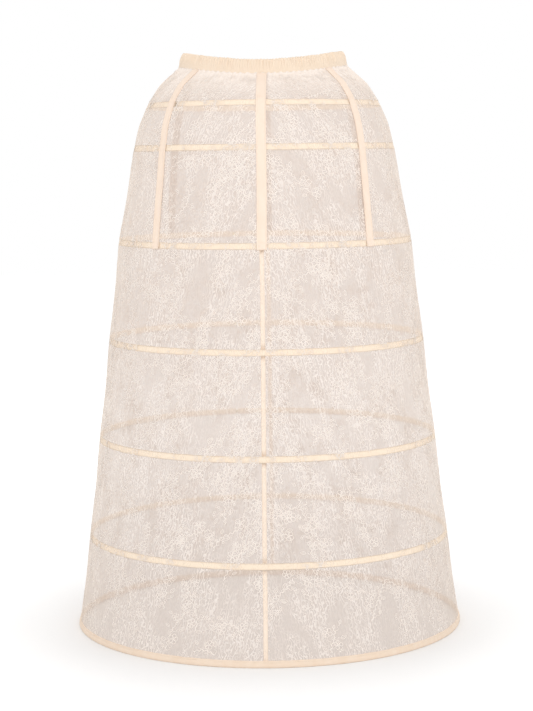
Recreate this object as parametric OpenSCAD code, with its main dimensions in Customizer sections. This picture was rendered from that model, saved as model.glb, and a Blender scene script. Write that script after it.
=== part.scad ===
// Crinoline cage: seven sprung steel hoops held in tape casings inside a sheer lace skirt,
// hung from a gathered elastic waistband by six wide tapes.
// The front is towards -Y. Left and right are as seen from the front.
// The origin is on the floor under the middle of the hem.

/* [Cage] */
// Diameter of the lace at the hem
hem_d = 616; // [560:2:680]
// Diameter of the lace at the hip hoop
hip_d = 467; // [436:1:506]
// Diameter of the lace at the high hip hoop
high_hip_d = 413; // [391:1:431]
// Diameter of the lace at the yoke hoop
yoke_d = 368; // [341:1:381]
// Height from the hem to the shin hoop
hem_rise = 141; // [100:1:180]
// Spacing of the shin, knee, thigh and hip hoops
hoop_pitch = 157; // [120:1:180]
// Height from the hip hoop to the high hip hoop
high_hip_rise = 147; // [110:1:180]
// Height from the high hip hoop to the yoke hoop
yoke_rise = 67; // [50:1:90]
// Height from the yoke hoop to the waist seam, at the sides
waist_rise = 59; // [50:1:78]
// How far the lace swells out between the yoke hoop and the waist seam
yoke_swell = 4; // [0:0.5:8]

/* [Lace] */
// Thickness of the lace
lace_t = 0.5; // [0.4:0.05:0.8]
// How far the lace goes into the hem binding and into the waistband
lace_tuck = 4; // [3:0.25:5]

/* [Waistband] */
// Width of the skirt at the waist seam
waist_w = 268; // [245:1:300]
// Depth of the skirt at the waist seam, from front to back
waist_depth = 231; // [205:1:290]
// Height of the waistband, along its slope
band_h = 24; // [23:0.5:36]
// How far the band leans in from its bottom to its top
band_lean = 9.5; // [0:0.5:12]
// Thickness of the band's cloth
band_cloth_t = 0.6; // [0.4:0.05:1]
// How much lower the waist is at the front than at the sides
front_dip = 15; // [0:1:20]
// How much lower the waist is at the back than at the sides
back_dip = 9; // [0:1:20]
// Number of gathers round the band
gathers = 80; // [40:2:90]
// Height of each gather above the cloth
gather_depth = 1.8; // [0.5:0.1:3]
// Width of the elastic in the band
elastic_w = 16; // [12:0.5:16]
// Thickness of the elastic
elastic_t = 1.2; // [0.8:0.1:2]

/* [Hoops] */
// Width of the hoop steel
hoop_w = 5; // [4:0.1:5.6]
// Thickness of the hoop steel
hoop_t = 0.9; // [0.6:0.05:1.1]
// Gap between the two ends of a hoop
hoop_end_gap = 0.6; // [0.2:0.1:2]
// Length of the sleeve that joins the ends of a hoop
joiner_l = 30; // [20:1:40]
// Wall of the joining sleeve
joiner_wall = 0.3; // [0.2:0.05:0.4]

/* [Casings] */
// Width of a hoop casing tape
casing_w = 10; // [9.4:0.1:14]
// Thickness of the casing and binding tape
casing_t = 0.55; // [0.4:0.05:0.8]
// Height of the hem binding
binding_h = 11; // [10.8:0.1:16]
// Width of the gap in a casing where its hoop is fed in
mouth_l = 3.4; // [2:0.1:5]

/* [Tapes] */
// Width of the six upright tapes
tape_w = 15; // [10:0.5:22]
// Thickness of the upright tapes
tape_t = 0.6; // [0.4:0.05:1]
// Angle of the foot of the side tapes from the middle of the front and of the back
side_foot_angle = 44; // [40:0.5:56]
// Angle of the top of the side tapes, at the waist
side_top_angle = 49.5; // [42:0.5:58]
// How far the upright tapes run on below the hip hoop
tape_tail = 6; // [5.5:0.5:14]
// Width of the tapes behind the middle seams, from hip to hem
seam_tape_w = 7; // [4:0.5:10]
// Thickness of the seam tapes
seam_tape_t = 0.4; // [0.3:0.05:0.5]

/* [Hidden] */

$fn = 96;
HEM = 0;
SHIN = 1;
KNEE = 2;
THIGH = 3;
HIP = 4;
HIGH_HIP = 5;
YOKE = 6;

// Clearances between pieces that lie on or in each other
cloth_gap = 0.3;
tape_gap = 0.15;
strap_gap = 0.4;
sleeve_gap = 0.05;
joiner_gap = 0.3;
tuck_gap = 0.35;
band_gap = 0.3;

// Facets of the lace from the middle of the front to the middle of the back
lace_facets = 40;
elastic_facets = 56;

// Colours
lace_colour = [0.94, 0.89, 0.85, 0.5];
tape_colour = [0.98, 0.92, 0.84];
band_colour = [0.97, 0.90, 0.80];
steel_colour = [0.62, 0.56, 0.36];
sleeve_colour = [0.72, 0.66, 0.45];
elastic_colour = [0.95, 0.93, 0.90];

// Hem section, along the slope of the lace: the hoop lies under the tucked edge of the lace
joiner_half_t = hoop_t / 2 + sleeve_gap + joiner_wall;
joiner_half_w = hoop_w / 2 + sleeve_gap + joiner_wall;
binding_floor = casing_t + 0.2;
hem_hoop_u = binding_floor + joiner_gap + joiner_half_w;
binding_room = hem_hoop_u + joiner_half_w + joiner_gap;
lace_foot_u = max(binding_h - lace_tuck, binding_room + 0.1);
binding_cavity = joiner_half_t + joiner_gap;
binding_half_t = binding_cavity + casing_t;
sole_cut = 0.1;
neck_in = lace_t + tuck_gap;
neck_out = tuck_gap;

// Radii and heights of the lace at the hoops
hem_r = hem_d / 2;
hip_r = hip_d / 2;
hem_slope = atan((hem_r - hoop_r(SHIN)) / hem_rise);
hem_mid = (neck_out - neck_in) / 2;
hem_z = lace_foot_u * cos(hem_slope) - hem_mid * sin(hem_slope) - sole_cut;

function hoop_r(i) =
    i <= HIP ? hem_r + (hip_r - hem_r) * i / HIP :
    i == HIGH_HIP ? high_hip_d / 2 : yoke_d / 2;
function hoop_z(i) =
    i == HEM ? hem_z :
    i <= HIP ? hem_z + hem_rise + (i - SHIN) * hoop_pitch :
    i == HIGH_HIP ? hoop_z(HIP) + high_hip_rise : hoop_z(HIGH_HIP) + yoke_rise;

// Slope of the lace from one height to another, in degrees from the vertical
function slope(r_low, z_low, r_high, z_high) = atan((r_low - r_high) / (z_high - z_low));
function span_slope(i) =
    i < YOKE ? slope(hoop_r(i), hoop_z(i), hoop_r(i + 1), hoop_z(i + 1))
             : slope(hoop_r(YOKE), hoop_z(YOKE), yoke_mid_rx, yoke_mid_z);
function hoop_slope(i) = i == HEM ? hem_slope : (span_slope(i - 1) + span_slope(i)) / 2;

// Waist seam, at the sides
waist_rx = waist_w / 2;
waist_ry = waist_depth / 2;
waist_z = hoop_z(YOKE) + waist_rise;
yoke_mid_rx = (hoop_r(YOKE) + waist_rx) / 2 + yoke_swell;
yoke_mid_ry = (hoop_r(YOKE) + waist_ry) / 2 + yoke_swell;
yoke_mid_z = hoop_z(YOKE) + waist_rise / 2;
band_slope = asin(band_lean / band_h);

// Height by which the waist drops at an angle round from the middle of the front
function dip(a) = (cos(a) > 0 ? front_dip : back_dip) * pow(cos(a), 2);

// Rows of the lace's outer face from the hem up: half width, half depth, height, share of the dip
seat = casing_w / 2 + 1;
function seat_row(i, u) = let (s = hoop_slope(i))
    [hoop_r(i) - u * sin(s), hoop_r(i) - u * sin(s), hoop_z(i) + u * cos(s), 0];
hem_top_u = binding_h - lace_foot_u + 1;
lace_rows = concat(
    [seat_row(HEM, 0), seat_row(HEM, hem_top_u)],
    [for (i = [SHIN:YOKE]) each [seat_row(i, -seat), seat_row(i, seat)]],
    [[yoke_mid_rx, yoke_mid_ry, yoke_mid_z, 0.5],
     [waist_rx, waist_ry, waist_z, 1],
     [waist_rx - lace_tuck * sin(band_slope), waist_ry - lace_tuck * sin(band_slope),
      waist_z + lace_tuck * cos(band_slope), 1]]
);

// A row at any height between the rows, and a point on it, a little out from the lace
function column(k) = [for (r = lace_rows) [r[2], r[k]]];
function row_at(z) = [lookup(z, column(0)), lookup(z, column(1)), z, lookup(z, column(3))];
function row_point(row, a, out = 0) =
    [(row[0] + out) * sin(a), -(row[1] + out) * cos(a), row[2] - dip(a) * row[3]];
// Angle that a length along the row spans at angle a
function row_span(row, a, l) =
    l / sqrt(pow(row[0] * cos(a), 2) + pow(row[1] * sin(a), 2)) * 180 / PI;

// Skins a list of sections, each a closed outline of two layers, first one way and then back.
// Both layers are split along the same diagonals; flip mirrors them.
module skin(sections, closed = false, flip = false) {
    n = len(sections);
    m = len(sections[0]);
    turns = closed ? n - 1 : n - 2;
    sides = [for (i = [0:turns]) for (j = [0:m - 1])
        let (a = i * m + j, b = i * m + (j + 1) % m,
             c = (i + 1) % n * m + (j + 1) % m, d = (i + 1) % n * m + j)
        each (j < m / 2 != flip ? [[a, d, c], [a, c, b]] : [[a, d, b], [d, c, b]])];
    last = (n - 1) * m;
    ends = [for (j = [0:m / 2 - 2])
        let (k = m - 1 - j)
        each [[j, j + 1, k - 1], [j, k - 1, k],
              [last + j, last + k - 1, last + j + 1], [last + j, last + k, last + k - 1]]];
    polyhedron(points = [for (s = sections) each s], faces = closed ? sides : concat(sides, ends));
}

// Half of the lace skirt, from the middle of the front to the middle of the back
module lace(side) {
    sections = [for (k = [0:lace_facets]) let (a = side * 180 * k / lace_facets)
        concat([for (row = lace_rows) row_point(row, a)],
               [for (j = [len(lace_rows) - 1:-1:0]) row_point(lace_rows[j], a, -lace_t)])];
    color(lace_colour)
    skin(side > 0 ? sections : [for (k = [lace_facets:-1:0]) sections[k]], flip = side < 0);
}

// Places a flat profile at a hoop, with y up along the lace. At the hem x runs out from the lace,
// at the other hoops it runs in from the inner face of the lace.
module at_hoop(i) {
    translate([hoop_r(i), hoop_z(i)]) rotate(hoop_slope(i))
    if (i == HEM) children();
    else translate([-lace_t, 0]) mirror([1, 0]) children();
}

// Sweeps a profile round the cage from angle a, counted from the middle of the front
module sweep(a, span) {
    rotate([0, 0, a - 90]) rotate_extrude(angle = span) children();
}

// Middle of the hoop steel in the profile at a hoop
casing_wall = cloth_gap + casing_t;
hoop_depth = casing_wall + joiner_gap + joiner_half_t;
function hoop_middle(i) =
    i == HEM ? [hem_mid, hem_hoop_u - lace_foot_u] : [hoop_depth, 0];

// Angle of the mouth of each casing, where its two ends leave a gap
mouth_clear = tape_w / 2 + mouth_l / 2 + 0.5;
function mouth_angle(i) =
    i == YOKE ? -side_angle(hoop_z(YOKE)) + arc_angle(i, mouth_clear) :
    i == HIGH_HIP ? -90 : -180 + arc_angle(i, 2 * joiner_l);
function arc_angle(i, l) = l / hoop_r(i) * 180 / PI;
// The joining sleeve lies a little way on from the mouth
function joint_angle(i) = mouth_angle(i) - arc_angle(i, 1.2 * joiner_l);

module hoop(i) {
    gap = arc_angle(i, hoop_end_gap);
    color(steel_colour)
    sweep(joint_angle(i) + gap / 2, 360 - gap)
    at_hoop(i) translate(hoop_middle(i)) square([hoop_t, hoop_w], center = true);
}

module joiner(i) {
    span = arc_angle(i, joiner_l);
    room = 2 * sleeve_gap;
    color(sleeve_colour)
    sweep(joint_angle(i) - span / 2, span)
    at_hoop(i) translate(hoop_middle(i)) difference() {
        square(2 * [joiner_half_t, joiner_half_w], center = true);
        square([hoop_t + room, hoop_w + room], center = true);
    }
}

// Section of a casing: a tape folded into a tube round the hoop, flat towards the lace
tube_in = hoop_depth + joiner_half_t + joiner_gap;
tube_half = joiner_half_w + joiner_gap;
tube_out = tube_in + casing_t;
shoulder = 0.5;
crown = 0.2;

module casing_section() {
    foot = casing_wall + casing_t;
    side = tube_half + casing_t;
    edge = max(casing_w / 2, side + 0.4);
    half_outline = [[cloth_gap, edge], [foot, edge], [foot, side], [tube_out - shoulder, side],
        [tube_out, side - 2 * shoulder], [tube_out + crown, 0]];
    half_room = [[casing_wall, tube_half], [tube_in - shoulder, tube_half],
        [tube_in, tube_half - shoulder]];
    difference() {
        polygon(concat(half_outline,
            [for (k = [len(half_outline) - 2:-1:0]) [half_outline[k][0], -half_outline[k][1]]]));
        polygon(concat(half_room,
            [for (k = [len(half_room) - 1:-1:0]) [half_room[k][0], -half_room[k][1]]]));
    }
}

module casing(i) {
    gap = arc_angle(i, mouth_l);
    color(tape_colour)
    sweep(mouth_angle(i) + gap / 2, 360 - gap) at_hoop(i) casing_section();
}

// Hem binding: a tape folded up round the hem hoop and the foot of the lace, level underneath
module hem_binding() {
    top = binding_h - lace_foot_u;
    bottom = -lace_foot_u;
    waist = bottom + binding_room - 1;
    sole = 1;
    tilt = sole * tan(hem_slope);
    cavity_low = bottom + binding_floor;
    cavity_high = bottom + binding_room;
    outline = [[hem_mid - sole, bottom + tilt], [hem_mid + sole, bottom - tilt],
        [hem_mid + binding_half_t - 0.2, bottom + 0.9], [hem_mid + binding_half_t, bottom + 2.2],
        [hem_mid + binding_half_t, waist], [neck_out + casing_t, 0.4], [neck_out + casing_t, top],
        [-neck_in - casing_t, top], [-neck_in - casing_t, 0.4], [hem_mid - binding_half_t, waist],
        [hem_mid - binding_half_t, bottom + 2.2], [hem_mid - binding_half_t + 0.2, bottom + 0.9]];
    color(tape_colour)
    difference() {
        sweep(0, 360) at_hoop(HEM) difference() {
            polygon(outline);
            translate([hem_mid - binding_cavity, cavity_low])
                square([2 * binding_cavity, cavity_high - cavity_low]);
            translate([-neck_in, cavity_high - 0.5]) square([neck_in + neck_out, top - cavity_high + 1]);
        }
        translate([0, 0, -binding_h]) cylinder(r = hem_d, h = binding_h);
    }
}

// Upright tape outside the lace, from just below the hip hoop up to the waistband
tail_z = hoop_z(HIP) - tape_tail * cos(hoop_slope(HIP));
function side_angle(z) =
    side_foot_angle + (side_top_angle - side_foot_angle) * (z - tail_z) / (waist_z - tail_z);
tape_top = waist_z - band_gap - 0.1;
tape_heights = concat([tail_z], [for (r = lace_rows) if (r[2] > tail_z && r[2] < tape_top) r[2]], [tape_top]);

// One section across a tape: out along its face and back along its underside
function tape_section(row, a, out, w, t) = let (h = row_span(row, a, w / 2))
    concat([for (s = [-1:1]) row_point(row, a + s * h, out + t)],
           [for (s = [1:-1:-1]) row_point(row, a + s * h, out)]);

// The tape starts from the middle of the front or back and is turned by the side angle
module upright_tape(middle, turn = 0) {
    color(tape_colour)
    skin([for (z = tape_heights)
            tape_section(row_at(z), middle + turn * side_angle(z), strap_gap, tape_w, tape_t)],
         flip = sin(middle + turn * side_foot_angle) < 0);
}

// Tape behind a middle seam, straight down the inside of the casings from the hip to the hem binding.
// Heights and distances in from the inner face of the lace, from the foot up.
seam_depth = tube_out + crown + tape_gap;
seam_rows = concat(
    [for (u = [0.5, binding_h - lace_foot_u])
        [hem_z + u * cos(hem_slope), tuck_gap + casing_t + tape_gap]],
    [for (i = [SHIN:HIP]) [hoop_z(i), seam_depth / cos(hoop_slope(i))]],
    [[hoop_z(HIP) + (casing_w / 2 - 1.5) * cos(hoop_slope(HIP)), seam_depth / cos(hoop_slope(HIP))]]
);

module seam_tape(a) {
    color(tape_colour)
    skin([for (r = seam_rows)
        tape_section(row_at(r[0]), a, -lace_t - r[1] - seam_tape_t, seam_tape_w, seam_tape_t)]);
}

// A point of the band: angle round it, distance out from its middle, height up its slope
function band_point(a, out, up) = let (
        rx = waist_rx - lace_t / 2 - up * sin(band_slope),
        ry = waist_ry - lace_t / 2 - up * sin(band_slope),
        n = [sin(a) / rx, -cos(a) / ry] / norm([sin(a) / rx, cos(a) / ry]),
        z = waist_z - dip(a) + up * cos(band_slope))
    [rx * sin(a) + out * cos(band_slope) * n[0], -ry * cos(a) + out * cos(band_slope) * n[1],
     z + out * sin(band_slope)];

// Gathered waistband: cloth folded over the elastic, with the top of the lace tucked in below
module waistband() {
    neck = lace_t / 2 + tuck_gap;
    room = elastic_t / 2 + band_gap;
    turn = lace_tuck + 1;
    sections = [for (k = [0:2 * gathers - 1])
        let (a = 180 * k / gathers,
             g = k % 2 * gather_depth,
             face = room + band_cloth_t + g,
             hem = neck + band_cloth_t + g / 2,
             lip = room + band_cloth_t - 0.5 + g / 2)
        [for (p = [[hem, 0], [face, turn], [face, band_h - 3], [lip, band_h],
                   [-lip, band_h], [-face, band_h - 3], [-face, turn], [-hem, 0],
                   [-neck, 0], [-room, turn], [-room, band_h - band_cloth_t - 0.4],
                   [room, band_h - band_cloth_t - 0.4], [room, turn], [neck, 0]])
            band_point(a, p[0], p[1])]];
    color(band_colour) skin(sections, closed = true);
}

module waist_elastic() {
    low = band_h - band_cloth_t - 0.4 - band_gap - elastic_w;
    high = low + elastic_w;
    sections = [for (k = [0:elastic_facets - 1]) let (a = 360 * k / elastic_facets)
        [for (p = [[elastic_t, low], [elastic_t, high], [-elastic_t, high], [-elastic_t, low]])
            band_point(a, p[0] / 2, p[1])]];
    color(elastic_colour) skin(sections, closed = true);
}

waistband();
waist_elastic();
lace(-1);  // lace_left
lace(1);  // lace_right
hoop(HEM);  // hem_hoop
hoop(SHIN);  // shin_hoop
hoop(KNEE);  // knee_hoop
hoop(THIGH);  // thigh_hoop
hoop(HIP);  // hip_hoop
hoop(HIGH_HIP);  // high_hip_hoop
hoop(YOKE);  // yoke_hoop
joiner(HEM);  // hem_joiner
joiner(SHIN);  // shin_joiner
joiner(KNEE);  // knee_joiner
joiner(THIGH);  // thigh_joiner
joiner(HIP);  // hip_joiner
joiner(HIGH_HIP);  // high_hip_joiner
joiner(YOKE);  // yoke_joiner
hem_binding();
casing(SHIN);  // shin_casing
casing(KNEE);  // knee_casing
casing(THIGH);  // thigh_casing
casing(HIP);  // hip_casing
casing(HIGH_HIP);  // high_hip_casing
casing(YOKE);  // yoke_casing
upright_tape(0);  // front_tape
upright_tape(0, 1);  // right_front_tape
upright_tape(180, -1);  // right_back_tape
upright_tape(180);  // back_tape
upright_tape(180, 1);  // left_back_tape
upright_tape(0, -1);  // left_front_tape
seam_tape(0);  // front_seam_tape
seam_tape(180);  // back_seam_tape
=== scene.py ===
"""Crinoline cage: sheer lace over sprung hoops, with cotton tapes and a gathered waistband.

Metres, +Z up, the front towards -Y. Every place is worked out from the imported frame.
Angles run round the cage from the middle of the front, towards +X.
"""
import math
import random

import bpy
import numpy as np
from mathutils import Matrix, Vector

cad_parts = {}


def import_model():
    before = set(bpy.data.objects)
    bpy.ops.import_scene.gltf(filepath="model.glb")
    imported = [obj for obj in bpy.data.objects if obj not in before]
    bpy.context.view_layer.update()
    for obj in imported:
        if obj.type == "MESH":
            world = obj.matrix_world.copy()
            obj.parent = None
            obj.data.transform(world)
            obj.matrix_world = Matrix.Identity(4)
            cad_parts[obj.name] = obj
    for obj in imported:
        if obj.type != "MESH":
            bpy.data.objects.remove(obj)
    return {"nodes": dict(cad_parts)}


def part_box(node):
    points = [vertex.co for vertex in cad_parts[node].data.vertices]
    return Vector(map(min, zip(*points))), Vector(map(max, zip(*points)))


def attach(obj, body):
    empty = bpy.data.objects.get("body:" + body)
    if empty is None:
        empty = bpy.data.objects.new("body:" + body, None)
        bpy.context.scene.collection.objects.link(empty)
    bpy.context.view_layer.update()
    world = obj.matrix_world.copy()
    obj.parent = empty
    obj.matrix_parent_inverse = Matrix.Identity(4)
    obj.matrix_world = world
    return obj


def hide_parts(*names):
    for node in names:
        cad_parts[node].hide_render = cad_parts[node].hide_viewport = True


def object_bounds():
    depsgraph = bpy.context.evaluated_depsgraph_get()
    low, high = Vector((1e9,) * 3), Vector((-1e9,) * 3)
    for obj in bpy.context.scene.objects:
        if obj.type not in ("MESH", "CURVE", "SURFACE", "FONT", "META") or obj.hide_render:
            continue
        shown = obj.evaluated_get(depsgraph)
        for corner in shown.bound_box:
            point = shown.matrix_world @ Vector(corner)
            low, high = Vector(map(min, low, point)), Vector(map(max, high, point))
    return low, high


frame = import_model()
cad_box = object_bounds()

MM = 0.001
# Random phases run from 0 to this, about a full turn
PHASE_RANGE = 6.28
HOOPS = ("hem", "shin", "knee", "thigh", "hip", "high_hip", "yoke")
CASED = HOOPS[1:]

# Camera, fitted to the photograph
CAMERA_DISTANCE = 3.0
CAMERA_HEIGHT = 0.753
CAMERA_AZIMUTH = math.radians(1.2)
CAMERA_PITCH = math.radians(6.13)
CAMERA_ROLL = math.radians(-0.7)
CAMERA_LENS = 94.6
SENSOR_WIDTH = 36.0

# Lace: its mesh, how it hangs, and how far it is drawn clear over the tapes behind it
LACE_CLOTH = 0.5 * MM
LACE_ROWS = 150
LACE_COLUMNS = 297
LACE_SAG = 1.2 * MM
LACE_GATHERS = 84
LACE_GATHER_DEPTH = 1.0 * MM
LACE_GATHER_DRIFT = 0.9
YOKE_BOW = 2.2 * MM
YOKE_RIM = 8.0 * MM
GATHER_BLEND = 10.0 * MM
EDGE_INSIDE = 0.2 * MM
EDGE_OUTSIDE = 0.3 * MM
ROW_CLEAR = 2.0 * MM
# How much the backing of the casings fades towards the sides, with the painted lighter net over them
SIDE_FADE = 0.28
SIDE_FADE_REACH = 1.5
HALVES_APART = 2.0

# Sprigs
SPRIG_PITCH = 58.0 * MM
SPRIG_ACROSS = 1.25
SPRIG_UP = 0.85
SPRIG_JITTER = 0.4
SPRIG_FOOT = 10.0 * MM
SPRIG_SPLIT = 0.44
SPRIG_TOP = 0.95

# Hoop casings and the hem binding
CASING_HALF = 5.0 * MM
CASING_DEPTH = 3.75 * MM
CASING_CLOTH = 0.5 * MM
CASING_STEPS = 360
CASING_UNEVEN = 0.2 * MM
CASING_STITCH_AT = 4.4 * MM
CASING_STITCH_LIFT = 0.05 * MM
MOUTH = 2.6 * MM
MOUTH_CLEAR = 0.5 * MM
BACK_MOUTH = 60.0 * MM
BINDING_STEPS = 420
BINDING_HEIGHT = 11.0 * MM
BINDING_LEAN = -0.25 * MM
BINDING_UNEVEN = 0.2 * MM
BINDING_RIPPLE = 0.12 * MM
BINDING_FLAT = 1.0 * MM
BINDING_LIP = 0.5 * MM
BINDING_STITCH_AT = 8.6 * MM
BINDING_STITCH_OUT = 1.0 * MM

# Tapes
TAPE_WIDTH = 15.0 * MM
TAPE_CLOTH = 0.6 * MM
TAPE_TAIL = 6.0 * MM
TAPE_STEPS = 170
TAPE_TOP_CLEAR = 0.5 * MM
TAPE_LIFT = 0.35 * MM
TAPE_WAIST_LIFT = 0.15 * MM
TAPE_FOLD = 5.5 * MM
TAPE_FOLD_STEP = 0.7 * MM
TAPE_FOLD_LIFT = 0.4 * MM
TAPE_STITCH_INSET = 2.2 * MM
TAPE_FOOT_STITCH = 1.5 * MM
TAPE_HIP_STITCH = 5.5 * MM
EDGE_DRIFT = 0.35 * MM
EDGE_KNOTS = 9
EDGE_RIDGE = 1.3
RIDGE_FROM, RIDGE_TO = 0.38, 0.45
SIDE_FOOT_ANGLE = math.radians(44.0)
SIDE_TOP_ANGLE = math.radians(49.5)
SEAM_TAPE_WIDTH = 7.0 * MM
SEAM_TAPE_CLOTH = 0.4 * MM
SEAM_TAPE_STEPS = 260
SEAM_TAPE_FOOT = 1.0 * MM
SEAM_TAPE_PAST_HIP = 3.0 * MM
SEAM_TAPE_BEHIND = 0.3 * MM
SEAM_TAPE_AT_HEM = 0.9 * MM
HEM_BLEND_FROM, HEM_BLEND_TO = 12.0 * MM, 25.0 * MM
CASING_BLEND_FROM, CASING_BLEND_TO = 0.5 * MM, 9.0 * MM
SEAM_TAPE_CLEAR = 0.2 * MM
SEAM_STITCH_INSET = 1.0 * MM

# Waistband
GATHERS = 173
GATHER_STEPS = 8
GATHER_DEPTH = 1.7 * MM
GATHER_RISE = 0.4 * MM
GATHER_DRIFT = 1.2
GATHER_SLANT = 1.3
GATHER_VARIES = 0.3
# Levels of the band, as shares of its height, and what the gathers lose at its rim
SLANT_LEVEL = 0.4
GATHERS_FROM, GATHERS_FULL = 0.12, 0.62
RIM_FROM, RIM_TO = 0.85, 1.0
RIM_LOSS = 0.3
UNEVEN_FROM = 0.75
# Sizes of the band
BAND_HALF = 1.3 * MM
BAND_INSET = 0.25 * MM
BAND_TOP_CLEAR = 0.8 * MM
BAND_UNEVEN = 0.3 * MM
BAND_FULLNESS = 1.8

# Colours, linear
# The open net is painted darker, as shade; over a tape the net is painted lighter, as lit, and gathered net
# is lighter as it lies thicker
SHADED_LACE_NET = (0.705, 0.615, 0.557)
LACE_THREAD = (0.910, 0.830, 0.770)
LIT_AND_GATHERED_LACE_NET = (0.945, 0.845, 0.775)
LACE_SHEEN = (1.0, 0.88, 0.74)
SPRIG_SHADE = (0.84, 0.755, 0.685)
SPRIG_LIGHT = (0.94, 0.865, 0.80)
TAPE_CREAM = (0.950, 0.805, 0.690)
CASING_CREAM = (0.975, 0.855, 0.710)
BAND_CREAM = (0.930, 0.790, 0.645)
BINDING_CREAM = (0.890, 0.765, 0.650)
SEAM_CREAM = (0.970, 0.850, 0.735)
STITCH_CREAM = (0.930, 0.820, 0.680)
ELASTIC_WHITE = (0.88, 0.85, 0.80)
HOOP_BRONZE = (0.84, 0.66, 0.28)
SLEEVE_BRASS = (0.55, 0.44, 0.22)
FLOOR_GREY = (0.86, 0.86, 0.86)

# How much light the lace stops: bare net, what gathers add, and its thread, open or over a tape.
# Then how strongly the thread is drawn: more in its clouds, and all over
NET_COVER = 0.58
GATHERED_COVER = 0.30
THREAD_COVER = 0.21
BACKED_COVER = 0.05
BACKED_THREAD_COVER = 0.20
CLOUD_THREAD = 0.74
PLAIN_THREAD = 0.18

# Surface finish; the wave scale is the pitch of the wave node's bands at a scale of 1
WAVE_SCALE = 0.31
LINE_EDGE = 0.78
LINE_CORE = 0.96
CLOTH_SPECULAR = 0.2
SHEEN_ROUGHNESS = 0.5
WEAVE_WANDER = 0.6
WEFT_SPREAD = 0.7
WEFT_SHARE = 0.35
WEAVE_TONE = 0.22
UNEVEN_TONE = 0.7
LIGHT_TONE = 1.03
STREAK_STRETCH = (30, 30, 1500)
STREAK_SHADE = 0.7
STREAK_ROUGHNESS = 0.1

# Stage and light
FLOOR_HALF = 9.0
FLOOR_ROUGHNESS = 0.9
# Glow of the floor: soft steps between two distances, in hem radii, from one level to another
# The glow is least under and near the cage, a painted shade on the floor there beside its real shadow
FLOOR_GLOWS = ((0.9, 1.6, 0.02, 0.14), (2.0, 5.0, 0.0, 0.14))
AMBIENT = 0.86
AIM = (0, 0, 0.45)
# Softboxes: name, place, size and power
SOFTBOXES = (
    ("front_softbox", (0.5, -3.6, 2.3), (2.6, 2.2), 34),
    ("left_softbox", (-3.0, -1.2, 1.9), (1.6, 2.2), 8),
    ("right_softbox", (3.0, -1.2, 1.9), (1.6, 2.2), 8),
    ("back_softbox", (0.0, 3.0, 2.2), (2.4, 2.0), 24),
)
# Lamps inside the cage: name, share of its height, and power
GLOWS = (("low_glow", 0.3, 0.10), ("middle_glow", 0.55, 0.3), ("high_glow", 0.8, 0.3))
GLOW_SIZE = 0.1


# Surface of the lace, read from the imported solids

def lace_profile():
    """Rows of the lace's outer face from hem to waist: heights with side, front and back radii."""
    points = np.array([v.co for v in frame["nodes"]["lace_right"].data.vertices])

    def rows(mask, axis, sign):
        """Largest radius at each height, among the points of a mask."""
        best = {}
        for p in points[mask]:
            key = round(float(p[2]), 5)
            best[key] = max(best.get(key, 0.0), sign * float(p[axis]))
        return np.array(sorted((z, r) for z, r in best.items()))

    near = 1e-4
    side = rows((np.abs(points[:, 1]) < near) & (points[:, 0] > 0), 0, 1)
    front = rows((np.abs(points[:, 0]) < near) & (points[:, 1] < 0), 1, -1)
    back = rows((np.abs(points[:, 0]) < near) & (points[:, 1] > 0), 1, 1)
    return side, front, back


side_rows, front_rows, back_rows = lace_profile()
steps = np.hypot(np.diff(side_rows[:, 0]), np.diff(side_rows[:, 1]))
row_s = np.concatenate([[0.0], np.cumsum(steps)])
LACE_TOP = row_s[-1]
WAIST_S = row_s[-2]


def along(s, column):
    """A column of the profile at distance s up the lace from the hem."""
    return np.interp(s, row_s, column)


def s_at(z):
    """Distance up the lace, at the sides, of a height."""
    return float(np.interp(z, side_rows[:, 0], row_s))


def radius(s):
    """Radius of the lace at the sides, at distance s up it."""
    return along(s, side_rows[:, 1])


def smooth(low, high, x):
    """A soft step from 0 at low to 1 at high."""
    t = np.clip((x - low) / (high - low), 0.0, 1.0)
    return t * t * (3 - 2 * t)


def hoop_s(name):
    """Distance up the lace of a hoop."""
    lo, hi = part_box(name + "_hoop")
    return s_at((lo[2] + hi[2]) / 2)


HOOP_S = {name: hoop_s(name) for name in HOOPS}
YOKE_TOP_S = HOOP_S["yoke"] + YOKE_RIM


def from_casing(s):
    """Distance along the lace to the middle of the nearest casing."""
    return np.min([np.abs(s - HOOP_S[name]) for name in CASED], axis=0)


def lace_bow(s):
    """How far the lace bows out between the high hip hoop, the yoke hoop and the waist."""
    stops = (HOOP_S["high_hip"], HOOP_S["yoke"], WAIST_S)
    return sum(YOKE_BOW * np.sin(np.pi * np.clip((s - low) / (high - low), 0, 1)) ** 2
               for low, high in zip(stops, stops[1:]))


def lace_point(a, s, out):
    """Points of the lace at angles a and distances s up it, moved out from it."""
    a, s, out = np.broadcast_arrays(np.asarray(a, float), np.asarray(s, float), np.asarray(out, float))
    c, n = np.cos(a), np.sin(a)
    rx, ry = along(s, side_rows[:, 1]), along(s, front_rows[:, 1])
    z = along(s, side_rows[:, 0])
    dip = np.where(c > 0, z - along(s, front_rows[:, 0]), z - along(s, back_rows[:, 0])) * c * c
    out = out + lace_bow(s)
    step = 2 * MM
    fall = along(s - step, side_rows[:, 1]) - along(s + step, side_rows[:, 1])
    rise = along(s + step, side_rows[:, 0]) - along(s - step, side_rows[:, 0])
    slope = np.arctan2(fall, rise)
    nx, ny = n / rx, -c / ry
    size = np.hypot(nx, ny)
    return np.stack([rx * n + out * np.cos(slope) * nx / size,
                     -ry * c + out * np.cos(slope) * ny / size,
                     z - dip + out * np.sin(slope)], axis=-1)


# Mesh helpers

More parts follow.
